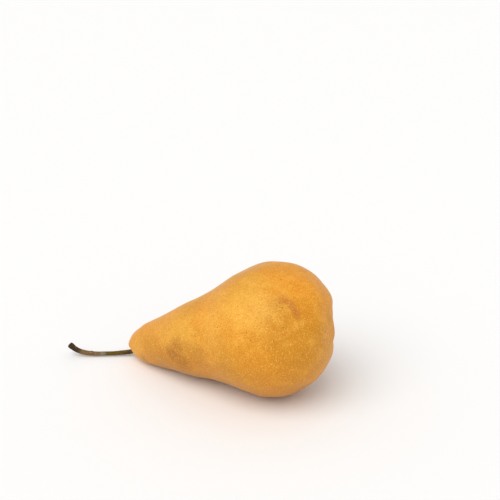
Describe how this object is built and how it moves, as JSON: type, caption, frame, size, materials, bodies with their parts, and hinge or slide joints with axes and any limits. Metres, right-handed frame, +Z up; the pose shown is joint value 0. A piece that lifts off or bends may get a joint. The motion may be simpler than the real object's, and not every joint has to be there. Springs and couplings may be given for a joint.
{
  "type": "pear",
  "caption": "Whole russet pear with a long neck, lying on its side, with a curved woody stem and a dried flower remnant at the blossom end.",
  "frame": {"origin": "on the resting flat under the belly, straight below the middle of the widest section", "axes": "+X along the lying pear towards the blossom end, so that the stem points to -X; +Z up"},
  "size_m": [0.1529, 0.0704, 0.0692],
  "materials": {
    "pear_skin": "satin",
    "stem_bark": "matte",
    "calyx_dry": "matte"
  },
  "bodies": {
    "root": {"fruit": "pear_skin", "stem": "stem_bark", "calyx": "calyx_dry"}
  },
  "joints": []
}
